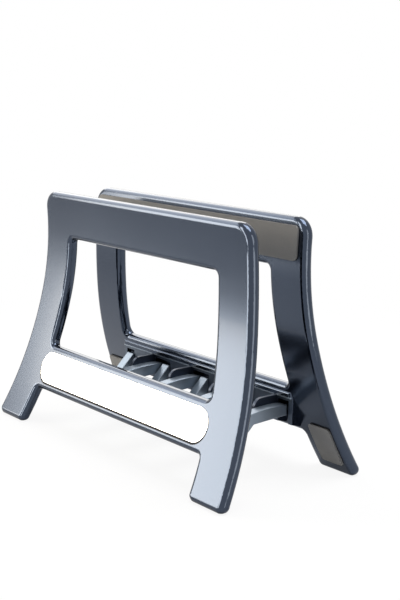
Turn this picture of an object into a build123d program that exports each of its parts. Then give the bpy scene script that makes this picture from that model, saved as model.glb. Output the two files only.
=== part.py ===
import os
from math import cos, radians, sin, sqrt, tan

from build123d import *

# Vertical laptop stand: two mirrored arch frames, joined by eight crossing arms on one rod.
# X runs along the arches, +Y to the rear, Z up, and the origin is on the floor in the middle.

# Outline of one arch, seen from the front
stand_height = 118.8
top_half_width = 80.2
top_band_width = 23.0
leg_width = 22.6
crossbar_bottom = 17.7
crossbar_width = 22.3
shoulder_height = 8.8
flare_radius = 330.0
splay_angle = 7.8
top_corner_radius = 8.7
window_corner_radius = 2.8
crotch_radius = 2.1
foot_corner_radius = 2.8
edge_round = 2.4

# Side profile of one arch: a plate curved about an axis that lies outside it
plate_thickness = 5.8
waist_offset = 18.1
waist_height = 96.0
curve_radius = 192.0

# Sill along the inner side of the crossbar, with an overhanging lip and a cove above it
sill_half_length = 66.0
sill_face = 22.0
sill_bottom = 21.0
sill_foot_drop = 1.5
sill_end_round = 2.0
lip_reach = 1.2
lip_height = 1.6
lip_bottom = 33.4
lip_round = 0.5
cove_top = 36.6
cove_sag = 0.3

# Crossing arms: slightly bowed on the far side of the hinge, dropped on their own side
arm_pitch = 31.5
arm_width = 5.5
arm_gap = 0.7
arm_top = 29.2
arm_height = 5.0
arm_crest_reach = 15.0
arm_crest_rise = 1.2
arm_tip_rise = 0.8
arm_tip_height = 4.9
arm_tip_clearance = 0.75
arm_bend_round = 1.5
arm_edge_round = 0.4
root_top = 30.2
root_bend = 21.5
drop_depth = 8.0
drop_far_end = 12.3
drop_near_end = 9.0
rise_end = 0.8
pocket_headroom = 2.0
pocket_side_clearance = 0.5
pocket_end_clearance = 1.0

# Guide ribs beside the tips of the other frame's arms
rib_thickness = 1.6
rib_nose = 6.9
rib_crest = 33.8
rib_crest_radius = 4.8
rib_heel_radius = 2.0

# Hinge rod, its end plugs and the washers between the arms
rod_radius = 1.25
bore_clearance = 0.05
rod_end_gap = 0.2
plug_length = 1.5
plug_clearance = 0.02
washer_radius = 2.4
washer_thickness = 0.5
washer_bore_clearance = 0.1

# Rubber pads and the plain plate, each set in a shallow recess
pad_thickness = 1.2
pad_recess = 0.5
seat_gap = 0.15
rim_clearance = 0.2
top_pad_half_length = 76.0
top_pad_upper_margin = 3.6
top_pad_lower_margin = 4.0
top_pad_corner = 2.4
leg_pad_bottom = 4.9
leg_pad_top = 23.1
leg_pad_outer_margin = 3.1
leg_pad_inner_margin = 6.1
leg_pad_corner = 1.8
plate_half_length = 67.4
plate_bottom = 22.3
plate_top = 37.3
sheet_thickness = 0.5
sheet_recess = 0.6

# Worked out from the sizes above
axis_y = waist_offset + curve_radius
pair_places = [arm_pitch * step for step in (-2, -1, 0, 1, 2)]
arm_offset = (arm_gap + arm_width) / 2
pair_half_width = arm_gap / 2 + arm_width
bore_radius = rod_radius + bore_clearance
hinge_height = arm_top - arm_height / 2
flare_start = stand_height - shoulder_height
window_top = stand_height - top_band_width
window_bottom = crossbar_bottom + crossbar_width
tip_top = arm_top + arm_tip_rise
pocket_roof = tip_top + pocket_headroom
half_turn = Axis.Z
overrun = 20.0
span = 4 * (top_half_width + stand_height)


def face_place(height, depth=0.0):
    """How far the arch's outer face, or a layer at a depth under it, is from the middle plane."""
    return axis_y - sqrt((curve_radius + depth) ** 2 - (waist_height - height) ** 2)


def inner_face(height):
    return face_place(height, plate_thickness)


def core_place(height):
    return face_place(height, plate_thickness / 2)


arm_tip = inner_face(tip_top) - arm_tip_clearance


def edge_place(height):
    """Half width of the arch at a height below the flare's end."""
    turn = radians(splay_angle)
    below = flare_start - flare_radius * sin(turn) - height
    return top_half_width + flare_radius * (1 - cos(turn)) + below * tan(turn)


def splayed_face(inset, low, high):
    """Face between the two splayed leg edges, or lines inset from them, cut to a range of heights."""
    with BuildSketch() as shape:
        with BuildLine():
            top = (top_half_width - inset, stand_height + overrun)
            toe = (edge_place(-overrun) - inset, -overrun)
            upright = Line(top, (top_half_width - inset, flare_start))
            flare = JernArc(upright @ 1, (0, -1), flare_radius, splay_angle)
            Polyline(flare @ 1, toe, (0, -overrun))
            Line(top, (0, stand_height + overrun))
            mirror(about=Plane.YZ)
        make_face()
        with Locations((0, (low + high) / 2)):
            Rectangle(span, high - low, mode=Mode.INTERSECT)
    return shape.sketch


def end_corners(sketch, end):
    return sketch.vertices().group_by(Axis.Y)[end]


def arch_outline():
    with BuildSketch() as window:
        add(splayed_face(leg_width, window_bottom, window_top))
        fillet(end_corners(window, -1) + end_corners(window, 0), window_corner_radius)
    with BuildSketch() as gap:
        add(splayed_face(leg_width, -overrun, crossbar_bottom))
        fillet(end_corners(gap, -1), crotch_radius)
    with BuildSketch(Plane.XZ) as outline:
        add(splayed_face(0, 0, stand_height))
        fillet(end_corners(outline, -1), top_corner_radius)
        add(window.sketch, mode=Mode.SUBTRACT)
        add(gap.sketch, mode=Mode.SUBTRACT)
        fillet(end_corners(outline, 0), foot_corner_radius)
    return outline.sketch


def curved_layer(outline, depth, thickness):
    """Solid with a given outline, cut from a layer of the curved plate at a depth under its outer face."""
    with BuildPart() as layer:
        with BuildSketch(Plane.YZ):
            with Locations((axis_y, waist_height)):
                Circle(curve_radius + depth + thickness)
                Circle(curve_radius + depth, mode=Mode.SUBTRACT)
            with Locations((0, waist_height)):
                Rectangle(axis_y, span, align=(Align.MIN, Align.CENTER), mode=Mode.INTERSECT)
        extrude(amount=span / 2, both=True)
        extrude(outline, amount=span / 2, both=True, mode=Mode.INTERSECT)
    return layer.part


def arch():
    outline = arch_outline()
    with BuildPart() as plate:
        add(curved_layer(outline, 0, plate_thickness))
        broad_faces = plate.faces().filter_by(GeomType.CYLINDER).sort_by(SortBy.AREA)[-2:]
        fillet(broad_faces.edges(), edge_round)
    return plate.part


def sill():
    """Thickened inner side of the crossbar, with its lip and the cove above it."""
    heel = sill_bottom - sill_foot_drop
    lip_nose = sill_face - lip_reach
    with BuildPart() as bar:
        with BuildSketch(Plane.YZ) as section:
            with BuildLine():
                cove_end = (inner_face(cove_top), cove_top)
                lip_corner = (lip_nose, lip_bottom + lip_height)
                SagittaArc(cove_end, lip_corner, -cove_sag)
                Polyline(
                    lip_corner,
                    (lip_nose, lip_bottom),
                    (sill_face, lip_bottom),
                    (sill_face, sill_bottom),
                    (inner_face(heel), heel),
                    (core_place(heel), heel),
                    (core_place(cove_top), cove_top),
                    cove_end,
                )
            make_face()
            fillet(section.vertices().sort_by(Axis.X)[:2], lip_round)
        extrude(amount=sill_half_length, both=True)
        with BuildSketch():
            with Locations((0, lip_nose)):
                RectangleRounded(2 * sill_half_length, axis_y, sill_end_round, align=(Align.CENTER, Align.MIN))
        extrude(amount=stand_height, mode=Mode.INTERSECT)
    return bar.part


def pocket_cutter():
    """Spaces in the sill where the other frame's arms end beside this frame's own arms."""
    depth = core_place(sill_bottom)
    with BuildPart() as cutter:
        for place in pair_places:
            low = place - pair_half_width - pocket_side_clearance
            high = place + pair_half_width
            if place == pair_places[0]:
                low = place + arm_gap / 2 - pocket_end_clearance
            if place == pair_places[-1]:
                high = place - arm_gap / 2 + pocket_end_clearance
            with BuildSketch(Plane.YZ.offset(low)):
                Rectangle(depth, pocket_roof, align=(Align.MIN, Align.MIN))
            extrude(amount=high - low)
    return cutter.part


def arm():
    """One arm of the rear frame, centred on X: dropped at its root, bowed beyond the hinge."""
    low_top = arm_top - drop_depth
    with BuildPart() as bar:
        with BuildSketch(Plane.YZ) as section:
            with BuildLine():
                crest = (-arm_crest_reach, arm_top + arm_crest_rise)
                bow = ThreePointArc((rise_end, arm_top), crest, (-arm_tip, tip_top))
                Polyline(
                    bow @ 1,
                    (-arm_tip, tip_top - arm_tip_height),
                    (rise_end - arm_height / 2, arm_top - arm_height),
                    (drop_near_end - arm_height / 2, low_top - arm_height),
                    (drop_far_end + arm_height / 2, low_top - arm_height),
                    (inner_face(sill_bottom), sill_bottom),
                    (core_place(sill_bottom), sill_bottom),
                    (core_place(root_top), root_top),
                    (root_bend, root_top),
                    (drop_far_end, low_top),
                    (drop_near_end, low_top),
                    bow @ 0,
                )
            make_face()
            fillet(section.vertices().sort_by(Axis.X)[2:-3], arm_bend_round)
            fillet(section.vertices().sort_by(Axis.X)[:2], arm_edge_round)
        extrude(amount=arm_width / 2, both=True)
        side_edges = bar.faces().sort_by(Axis.X)[0].edges() + bar.faces().sort_by(Axis.X)[-1].edges()
        fillet(side_edges.filter_by_position(Axis.Y, -span, root_bend - arm_bend_round), arm_edge_round)
        with BuildSketch(Plane.YZ):
            with Locations((0, hinge_height)):
                Circle(bore_radius)
        extrude(amount=arm_width, both=True, mode=Mode.SUBTRACT)
    return bar.part


def guide_rib():
    """Rib of the rear frame whose flat side guides an arm of the front frame, centred on X."""
    length = core_place(rib_crest) - rib_nose
    with BuildPart() as rib:
        with BuildSketch(Plane.YZ) as section:
            with Locations((rib_nose, arm_top - arm_height)):
                Rectangle(length, rib_crest - arm_top + arm_height, align=(Align.MIN, Align.MIN))
            nose = section.vertices().sort_by(Axis.X)[:2].sort_by(Axis.Y)
            fillet(nose[-1], rib_crest_radius)
            fillet(nose[0], rib_heel_radius)
        extrude(amount=rib_thickness / 2, both=True)
    return rib.part


def pad_outline(corner, low, high, half_length):
    with BuildSketch(Plane.XZ) as outline:
        with Locations((0, (low + high) / 2)):
            RectangleRounded(2 * half_length, high - low, corner)
    return outline.sketch


def top_pad_outline(grow):
    low = window_top + top_pad_lower_margin - grow
    high = stand_height - top_pad_upper_margin + grow
    return pad_outline(top_pad_corner + grow, low, high, top_pad_half_length + grow)


def leg_pad_outline(side, grow):
    """Slanted pad outline between the leg's two edges, near the floor."""
    with BuildSketch() as half:
        add(splayed_face(leg_pad_outer_margin - grow, leg_pad_bottom - grow, leg_pad_top + grow))
        add(splayed_face(leg_width - leg_pad_inner_margin + grow, -overrun, stand_height), mode=Mode.SUBTRACT)
        with Locations((side * span / 2, 0)):
            Rectangle(span, span, mode=Mode.INTERSECT)
        fillet(half.vertices(), leg_pad_corner + grow)
    with BuildSketch(Plane.XZ) as outline:
        add(half.sketch)
    return outline.sketch


def plate_outline(grow):
    height = plate_top - plate_bottom + 2 * grow
    with BuildSketch(Plane.XZ) as outline:
        with Locations((0, (plate_top + plate_bottom) / 2)):
            SlotOverall(2 * (plate_half_length + grow), height)
    return outline.sketch


def stand_frame(plate_seat):
    """One arch with its sill, arms and guide ribs, on the rear side."""
    with BuildPart() as frame:
        add(sill())
        add(pocket_cutter(), mode=Mode.SUBTRACT)
        with Locations([(place + arm_offset, 0, 0) for place in pair_places[:-1]]):
            add(arm())
        rib_offset = pair_half_width + pocket_side_clearance + rib_thickness / 2
        with Locations([(place - rib_offset, 0, 0) for place in pair_places[1:]]):
            add(guide_rib())
        add(arch())
        recess_depth = plate_thickness - pad_recess
        pad_seats = [top_pad_outline(rim_clearance)]
        pad_seats += [leg_pad_outline(side, rim_clearance) for side in (-1, 1)]
        for seat in pad_seats:
            add(curved_layer(seat, recess_depth, pad_thickness), mode=Mode.SUBTRACT)
        if plate_seat:
            add(curved_layer(plate_outline(rim_clearance), 0, sheet_recess), mode=Mode.SUBTRACT)
    return frame.part


def write(part, label):
    part.label = label
    export_step(part, f"parts/{label}.step")


os.makedirs("parts", exist_ok=True)

# The two castings are one shape, turned half round. Only the front one has a seat for the plate.
rear_frame = stand_frame(plate_seat=False)
front_frame = stand_frame(plate_seat=True).rotate(half_turn, 180)
write(rear_frame, "rear_frame")
write(front_frame, "front_frame")

# Pads of the rear arch, and the same pads turned round for the front arch
pad_depth = plate_thickness - pad_recess + seat_gap
pad_outlines = {
    "top_pad": top_pad_outline(0),
    "left_leg_pad": leg_pad_outline(-1, 0),
    "right_leg_pad": leg_pad_outline(1, 0),
}
turned_side = {"top_pad": "top_pad", "left_leg_pad": "right_leg_pad", "right_leg_pad": "left_leg_pad"}
for name, outline in pad_outlines.items():
    pad = curved_layer(outline, pad_depth, pad_thickness)
    write(pad, f"rear_{name}")
    write(pad.rotate(half_turn, 180), f"front_{turned_side[name]}")

# Plain plate in the front crossbar
sheet_depth = sheet_recess - seat_gap - sheet_thickness
sheet = curved_layer(plate_outline(0), sheet_depth, sheet_thickness)
write(sheet.rotate(half_turn, 180), "name_plate")

# Hinge rod through all eight arms, closed in by a plug at each end
arms_end = pair_places[-1] - arm_gap / 2
rod_end = arms_end - plug_length - rod_end_gap
with BuildPart() as rod:
    with BuildSketch(Plane.YZ.offset(-rod_end)):
        with Locations((0, hinge_height)):
            Circle(rod_radius)
    extrude(amount=2 * rod_end)
write(rod.part, "hinge_rod")

for side, label in ((-1, "left_rod_plug"), (1, "right_rod_plug")):
    with BuildPart() as plug:
        with BuildSketch(Plane.YZ.offset(side * arms_end)):
            with Locations((0, hinge_height)):
                Circle(bore_radius - plug_clearance)
        extrude(amount=-side * plug_length)
    write(plug.part, label)

# Friction washers between the arms of each crossing pair
washer_names = ("left_washer", "middle_washer", "right_washer")
for place, label in zip(pair_places[1:-1], washer_names):
    with BuildPart() as washer:
        with BuildSketch(Plane.YZ.offset(place)):
            with Locations((0, hinge_height)):
                Circle(washer_radius)
                Circle(rod_radius + washer_bore_clearance, mode=Mode.SUBTRACT)
        extrude(amount=washer_thickness / 2, both=True)
    write(washer.part, label)
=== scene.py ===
import math

import bpy
from mathutils import Matrix, Vector

# Vertical laptop stand: slate metallic frames, bright silver plate, grey rubber pads.

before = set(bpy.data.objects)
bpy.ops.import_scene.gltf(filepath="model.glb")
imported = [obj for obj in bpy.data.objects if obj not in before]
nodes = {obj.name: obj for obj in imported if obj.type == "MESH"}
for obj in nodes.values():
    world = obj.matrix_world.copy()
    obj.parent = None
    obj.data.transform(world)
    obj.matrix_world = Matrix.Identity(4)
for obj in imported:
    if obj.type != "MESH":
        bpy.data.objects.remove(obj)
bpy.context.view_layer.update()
mm = 0.001
white = (1, 1, 1, 1)
print("loaded", len(nodes), "nodes")


# Shader maths: one socket class, with the operators that the materials use

class Sock:
    def __init__(self, shader, socket):
        self.shader = shader
        self.socket = socket

    def math(self, operation, other=None):
        inputs = {0: self} if other is None else {0: self, 1: other}
        return self.shader.node("ShaderNodeMath", {"operation": operation}, inputs)

    def __add__(self, other):
        return self.math("ADD", other)

    def __radd__(self, other):
        return self.math("ADD", other)

    def __sub__(self, other):
        return self.math("SUBTRACT", other)

    def __rsub__(self, other):
        settings = {"operation": "SUBTRACT"}
        return self.shader.node("ShaderNodeMath", settings, {0: other, 1: self})

    def __mul__(self, other):
        return self.math("MULTIPLY", other)

    def __rmul__(self, other):
        return self.math("MULTIPLY", other)

    def __truediv__(self, other):
        return self.math("DIVIDE", other)

    def __lt__(self, other):
        return self.math("LESS_THAN", other)

    def __gt__(self, other):
        return self.math("GREATER_THAN", other)

    def __abs__(self):
        return self.math("ABSOLUTE")


class Shader:
    def __init__(self, owner):
        self.owner = owner
        owner.use_nodes = True
        self.tree = owner.node_tree
        self.tree.nodes.clear()

    def node(self, kind, settings=None, inputs=None, output=0):
        made = self.tree.nodes.new(kind)
        for key, value in (settings or {}).items():
            setattr(made, key, value)
        for key, value in (inputs or {}).items():
            if isinstance(value, Sock):
                self.tree.links.new(value.socket, made.inputs[key])
            else:
                made.inputs[key].default_value = value
        return Sock(self, made.outputs[output]) if len(made.outputs) else None

    def rest(self):
        return self.node("ShaderNodeTexCoord", output="Object")

    def parts(self, vector):
        made = self.node("ShaderNodeSeparateXYZ", inputs={0: vector}).socket.node
        return [Sock(self, output) for output in made.outputs]

    def noise(self, scale, detail=2.0, stretch=(1, 1, 1)):
        settings = {"operation": "MULTIPLY"}
        spot = self.node("ShaderNodeVectorMath", settings, {0: self.rest(), 1: stretch})
        inputs = {"Vector": spot, "Scale": scale, "Detail": detail}
        return self.node("ShaderNodeTexNoise", {"noise_dimensions": "3D"}, inputs)

    def mix(self, factor, first, second):
        # 6, 7 and output 2 are the Mix node's colour sockets
        settings = {"data_type": "RGBA", "blend_type": "MIX"}
        return self.node("ShaderNodeMix", settings, {0: factor, 6: first, 7: second}, output=2)

    def mixShader(self, factor, first, second):
        return self.node("ShaderNodeMixShader", inputs={0: factor, 1: first, 2: second})

    def bump(self, height, strength, distance):
        inputs = {"Height": height, "Strength": strength, "Distance": distance}
        return self.node("ShaderNodeBump", inputs=inputs)

    def seen(self):
        # 1 for the camera, for gloss and for clear things
        camera, gloss, clear = (
            self.node("ShaderNodeLightPath", output=f"Is {kind} Ray")
            for kind in ("Camera", "Glossy", "Transmission")
        )
        return camera.math("MAXIMUM", gloss).math("MAXIMUM", clear)

    def finish(self, **sockets):
        surface = self.node("ShaderNodeBsdfPrincipled", inputs=sockets)
        self.node("ShaderNodeOutputMaterial", inputs={"Surface": surface})
        return self.owner


def newMaterial(name):
    return Shader(bpy.data.materials.new(name))


# A noise that swings about 0, for roughness
def sway(noise, spread):
    middle = 0.5
    return (noise - middle) * spread


# Slate frames: metallic coat with a fine flake, polished along the rounded edges. The arms are
# blasted and paler, the ribs and the sill faces under the lip get painted shade, and a painted
# shadow line runs round the plate in its gap.

slateFrame = {
    "deep": (0.041, 0.053, 0.078, 1),
    "light": (0.048, 0.062, 0.090, 1),
    "metallic": 1.0,
    "roughness": 0.215,
    "cloudScale": 18.0,
    "cloudRoughness": 0.08,
    "flakeScale": 5200.0,
    "flakeDetail": 1.0,
    "flakeRoughness": 0.02,
    "flakeStrength": 0.35,
    "flakeDepth": 0.00015 * mm,
    "coat": 0.15,
    "coatRoughness": 0.08,
    "edgeRoughness": 0.11,
    "edgeTurn": 0.03,
    "edgeBlend": 0.08,
    "faceTurn": 0.78,
    "armDeep": (0.200, 0.245, 0.305, 1),
    "armLight": (0.240, 0.288, 0.350, 1),
    "armMetallic": 0.75,
    "armRoughness": 0.36,
    "armReach": 22.05 * mm,
    "armCeiling": 34.2 * mm,
    # painted shade on the ribs between the arms
    "ribPaintedShade": (0.034, 0.045, 0.070, 1),
    "ribPitch": 31.5 * mm,
    "ribOffset": 7.15 * mm,
    "ribHalfWidth": 1.0 * mm,
    # painted shade on the sill face under the lip
    "sillPaintedShade": (0.062, 0.080, 0.112, 1),
    "sillFace": 21.6 * mm,
    "sillReach": 25.0 * mm,
    "sillCeiling": 38.5 * mm,
    # painted shadow in the thin joint round the plate
    "jointShadow": (0.012, 0.014, 0.018, 1),
    "jointShadowRoughness": 0.7,
    "jointShadowWidth": 0.32 * mm,
    "jointShadowSoft": 2.4,
    "jointShadowDrop": 0.45 * mm,
    "plateHalfLength": 67.4 * mm,
    "plateHalfHeight": 7.5 * mm,
    "plateHeight": 29.8 * mm,
    "plateSide": -22.0 * mm,
}


def makeSlate():
    look = slateFrame
    tree = newMaterial("frameSlate")
    cloud = tree.noise(look["cloudScale"])
    flake = tree.noise(look["flakeScale"], look["flakeDetail"])
    x, y, z = tree.parts(tree.rest())

    # Painted shadow in the joint: a dark ring round the plate's rounded outline, set a little
    # lower than the plate so that it lies heavier along the lower edge
    straight = look["plateHalfLength"] - look["plateHalfHeight"]
    across = (abs(x) - straight).math("MAXIMUM", 0)
    upward = z - look["plateHeight"] + look["jointShadowDrop"]
    rim = (across * across + upward * upward).math("SQRT") - look["plateHalfHeight"]
    ring = tree.node("ShaderNodeMapRange", {"interpolation_type": "SMOOTHSTEP"}, {
        "Value": rim,
        "From Min": look["jointShadowWidth"],
        "From Max": look["jointShadowWidth"] * look["jointShadowSoft"],
        "To Min": 1.0,
        "To Max": 0.0,
    })
    jointShadow = ring * (y < look["plateSide"])

    # The ribs stand at one pitch, offset to one side on the rear frame and to the other in front
    ribPlace = (x + look["ribOffset"] * y.math("SIGN")) / look["ribPitch"]
    ribAway = abs(ribPlace - ribPlace.math("ROUND")) * look["ribPitch"]
    armZone = (abs(y) < look["armReach"]) * (z < look["armCeiling"])
    armColour = tree.mix(cloud, look["armDeep"], look["armLight"])
    # Painted shade: the ribs between the arms are darkened
    armColour = tree.mix(ribAway < look["ribHalfWidth"], armColour, look["ribPaintedShade"])
    # Painted shade: the sill face under the lip is darkened
    armColour = tree.mix(abs(y) > look["sillFace"], armColour, look["sillPaintedShade"])
    colour = tree.mix(cloud, look["deep"], look["light"])
    colour = tree.mix(armZone, colour, armColour)
    colour = tree.mix(jointShadow, colour, look["jointShadow"])

    # The rounded edges and narrow sides are polished brighter than the broad faces and the sills
    normal = tree.node("ShaderNodeTexCoord", output="Normal")
    sideways, through = tree.parts(normal)[:2]
    edge = (abs(sideways) - look["edgeTurn"]) / look["edgeBlend"]
    edge = edge.math("MAXIMUM", 0).math("MINIMUM", 1)
    edge = edge.math("MAXIMUM", abs(through) < look["faceTurn"])
    sill = (abs(y) < look["sillReach"]) * (z < look["sillCeiling"])
    edge = edge * (1 - sill)

    rough = look["roughness"] - edge * (look["roughness"] - look["edgeRoughness"])
    rough = rough + armZone * (look["armRoughness"] - look["roughness"])
    rough = rough + sway(cloud, look["cloudRoughness"]) + sway(flake, look["flakeRoughness"])
    rough = rough + jointShadow * look["jointShadowRoughness"]
    metallic = look["metallic"] + armZone * (look["armMetallic"] - look["metallic"])
    return tree.finish(**{
        "Base Color": colour,
        "Metallic": metallic * (1 - jointShadow),
        "Roughness": rough,
        "Coat Weight": look["coat"] * (1 - armZone) * (1 - jointShadow),
        "Coat Roughness": look["coatRoughness"],
        "Normal": tree.bump(flake, look["flakeStrength"], look["flakeDepth"]),
    })


# Bright silver plate in the front crossbar, polished along its length

silverPlate = {
    "colour": (0.84, 0.845, 0.85, 1),
    "shade": (0.79, 0.795, 0.805, 1),
    "metallic": 1.0,
    "roughness": 0.27,
    "grainScale": 900.0,
    "grainStretch": (0.03, 1, 1),
    "grainRoughness": 0.05,
    "grainStrength": 0.2,
    "grainDepth": 0.002 * mm,
}


def makeSilver():
    look = silverPlate
    tree = newMaterial("plateSilver")
    grain = tree.noise(look["grainScale"], stretch=look["grainStretch"])
    return tree.finish(**{
        "Base Color": tree.mix(grain, look["shade"], look["colour"]),
        "Metallic": look["metallic"],
        "Roughness": look["roughness"] + sway(grain, look["grainRoughness"]),
        "Normal": tree.bump(grain, look["grainStrength"], look["grainDepth"]),
    })


# Grey rubber pads, with a fine tooth

greyPad = {
    "colour": (0.152, 0.154, 0.157, 1),
    "pale": (0.188, 0.190, 0.193, 1),
    "roughness": 0.72,
    "cloudScale": 60.0,
    "cloudShare": 0.6,
    "toothShare": 0.4,
    "toothScale": 1500.0,
    "toothDetail": 3.0,
    "toothRoughness": 0.15,
    "toothStrength": 0.5,
    "toothDepth": 0.02 * mm,
}


def makeRubber():
    look = greyPad
    tree = newMaterial("padRubber")
    tooth = tree.noise(look["toothScale"], look["toothDetail"])
    cloud = tree.noise(look["cloudScale"])
    blend = cloud * look["cloudShare"] + tooth * look["toothShare"]
    return tree.finish(**{
        "Base Color": tree.mix(blend, look["colour"], look["pale"]),
        "Roughness": look["roughness"] + sway(tooth, look["toothRoughness"]),
        "Normal": tree.bump(tooth, look["toothStrength"], look["toothDepth"]),
    })


# Ground steel rod, deep between the arms, with fine rings round it

steelRod = {
    "colour": (0.52, 0.53, 0.55, 1),
    "shade": (0.42, 0.43, 0.45, 1),
    "metallic": 1.0,
    "roughness": 0.3,
    "ringScale": 1400.0,
    "ringStretch": (1, 0.05, 0.05),
    "ringRoughness": 0.1,
    "ringStrength": 0.2,
    "ringDepth": 0.003 * mm,
}


def makeSteel():
    look = steelRod
    tree = newMaterial("rodSteel")
    rings = tree.noise(look["ringScale"], stretch=look["ringStretch"])
    return tree.finish(**{
        "Base Color": tree.mix(rings, look["shade"], look["colour"]),
        "Metallic": look["metallic"],
        "Roughness": look["roughness"] + sway(rings, look["ringRoughness"]),
        "Normal": tree.bump(rings, look["ringStrength"], look["ringDepth"]),
    })


# Plain plastic washers on the rod

plainWasher = {
    "colour": (0.78, 0.78, 0.75, 1),
    "shade": (0.70, 0.70, 0.68, 1),
    "roughness": 0.45,
    "speckScale": 700.0,
    "speckRoughness": 0.1,
}


def makeWasher():
    look = plainWasher
    tree = newMaterial("washerPlastic")
    speck = tree.noise(look["speckScale"])
    return tree.finish(**{
        "Base Color": tree.mix(speck, look["shade"], look["colour"]),
        "Roughness": look["roughness"] + sway(speck, look["speckRoughness"]),
    })


def dress(names, material):
    for name in names:
        mesh = nodes[name].data
        mesh.materials.clear()
        mesh.materials.append(material)


dress(["front_frame", "rear_frame", "left_rod_plug", "right_rod_plug"], makeSlate())
dress(["name_plate"], makeSilver())
dress([name for name in nodes if name.endswith("_pad")], makeRubber())
dress(["hinge_rod"], makeSteel())
dress([name for name in nodes if name.endswith("_washer")], makeWasher())
print("materials done")


# Floor: plain white from a forearm's length off. Nearer by, the camera sees a faint shadow on it,
# and gloss sees more of its own shade.

paleFloor = {
    "size": 8.0,
    "colour": (0.80, 0.80, 0.805, 1),
    "glow": 1.0,
    "nearGlow": 0.90,
    "glossGlow": 0.3,
    "fadeStart": 0.12,
    "fadeEnd": 0.36,
}


def makeFloor():
    look = paleFloor
    half = look["size"] / 2
    mesh = bpy.data.meshes.new("floor")
    corners = [(-half, -half, 0), (half, -half, 0), (half, half, 0), (-half, half, 0)]
    mesh.from_pydata(corners, [], [(0, 1, 2, 3)])
    floor = bpy.data.objects.new("floor", mesh)
    bpy.context.scene.collection.objects.link(floor)
    tree = newMaterial("floorWhite")
    diffuse = tree.node("ShaderNodeBsdfDiffuse", inputs={"Color": look["colour"]})
    glow = tree.node("ShaderNodeEmission", inputs={"Color": white, "Strength": look["glow"]})
    spot = tree.node("ShaderNodeNewGeometry", output="Position")
    away = tree.node("ShaderNodeVectorMath", {"operation": "LENGTH"}, {0: spot}, output="Value")
    gloss = tree.node("ShaderNodeLightPath", output="Is Glossy Ray")
    fade = tree.node("ShaderNodeMapRange", {"interpolation_type": "SMOOTHSTEP"}, {
        "Value": (away - look["fadeStart"]) / (look["fadeEnd"] - look["fadeStart"]),
        "To Min": look["nearGlow"] - gloss * (look["nearGlow"] - look["glossGlow"]),
    })
    surface = tree.mixShader(fade * tree.seen(), diffuse, glow)
    tree.node("ShaderNodeOutputMaterial", inputs={"Surface": surface})
    mesh.materials.append(tree.owner)


# World: a soft grey light, plain white to the camera, to gloss and to clear things

studioWorld = {
    "light": 0.42,
}


def makeWorld():
    world = bpy.data.worlds.new("studio")
    bpy.context.scene.world = world
    tree = Shader(world)
    light = tree.node("ShaderNodeBackground", inputs={"Strength": studioWorld["light"]})
    bright = tree.node("ShaderNodeBackground", inputs={"Color": white})
    surface = tree.mixShader(tree.seen(), light, bright)
    tree.node("ShaderNodeOutputWorld", inputs={"Surface": surface})


makeFloor()
makeWorld()
print("floor and world done")


# Lamps: boxes at the front left, overhead, at the back left and at the left side light the stand.
# Two slim strips that only gloss sees draw the light lines along the edges.

target = Vector((0, 0, 60 * mm))
paleWarm = (1.0, 0.96, 0.90)
warm = (1.0, 0.89, 0.72)
lamps = {
    "leftBox": {
        "turn": -47, "lift": 10.5, "reach": 0.9, "size": (0.34, 0.48),
        "radiance": 11.2, "colour": warm, "glossOnly": False,
    },
    "topBox": {
        "turn": 150, "lift": 74, "reach": 1.2, "size": (0.8, 0.8),
        "radiance": 7.0, "colour": white[:3], "glossOnly": False,
    },
    "backBox": {
        "turn": -122, "lift": 25, "reach": 1.3, "size": (0.8, 0.62),
        "radiance": 2.0, "colour": paleWarm, "glossOnly": False,
    },
    "sideBox": {
        "turn": -81, "lift": 37, "reach": 1.1, "size": (1.1, 0.5),
        "radiance": 3.0, "colour": paleWarm, "glossOnly": False,
    },
    "lineStrip": {
        "turn": -10.5, "lift": 20, "reach": 0.34, "size": (0.10, 0.36),
        "radiance": 9.0, "colour": warm, "glossOnly": True,
    },
    "rimStrip": {
        "turn": 100, "lift": 17, "reach": 0.46, "size": (0.14, 0.36),
        "radiance": 3.2, "colour": warm, "glossOnly": True,
    },
}


def outward(turn, lift):
    level = math.cos(lift)
    return Vector((math.sin(turn) * level, -math.cos(turn) * level, math.sin(lift)))


def makeLamp(name, look):
    light = bpy.data.lights.new(name, "AREA")
    light.shape = "RECTANGLE"
    light.size, light.size_y = look["size"]
    light.energy = look["radiance"] * math.pi * light.size * light.size_y
    light.color = look["colour"]
    lamp = bpy.data.objects.new(name, light)
    bpy.context.scene.collection.objects.link(lamp)
    aim = outward(math.radians(look["turn"]), math.radians(look["lift"]))
    lamp.location = target + aim * look["reach"]
    lamp.rotation_euler = aim.to_track_quat("Z", "Y").to_euler()
    lamp.visible_camera = False
    lamp.visible_diffuse = not look["glossOnly"]


for name, look in lamps.items():
    makeLamp(name, look)
print("lamps done")


# Camera, fitted to the photograph

shot = {
    "turn": 52.32,
    "lift": 12.64,
    "roll": -0.41,
    "distance": 561.8 * mm,
    "focalPixels": 1155.9,
    "frameHeight": 600,
    "centreShift": (-33.04, 23.46),
    "sensor": 36.0,
}


def makeCamera():
    turn, lift, roll = (math.radians(shot[key]) for key in ("turn", "lift", "roll"))
    back = outward(turn, lift)
    level = Vector((math.cos(turn), math.sin(turn), 0))
    upright = back.cross(level)
    right = level * math.cos(roll) - upright * math.sin(roll)
    up = level * math.sin(roll) + upright * math.cos(roll)
    data = bpy.data.cameras.new("camera")
    data.sensor_fit = "VERTICAL"
    data.sensor_height = shot["sensor"]
    data.lens = shot["focalPixels"] * shot["sensor"] / shot["frameHeight"]
    data.shift_x = -shot["centreShift"][0] / shot["frameHeight"]
    data.shift_y = shot["centreShift"][1] / shot["frameHeight"]
    camera = bpy.data.objects.new("camera", data)
    bpy.context.scene.collection.objects.link(camera)
    place = Matrix((right, up, back)).transposed().to_4x4()
    place.translation = target + back * shot["distance"]
    camera.matrix_world = place
    bpy.context.scene.camera = camera


makeCamera()
bpy.context.scene.view_settings.view_transform = "Standard"
print("camera done")
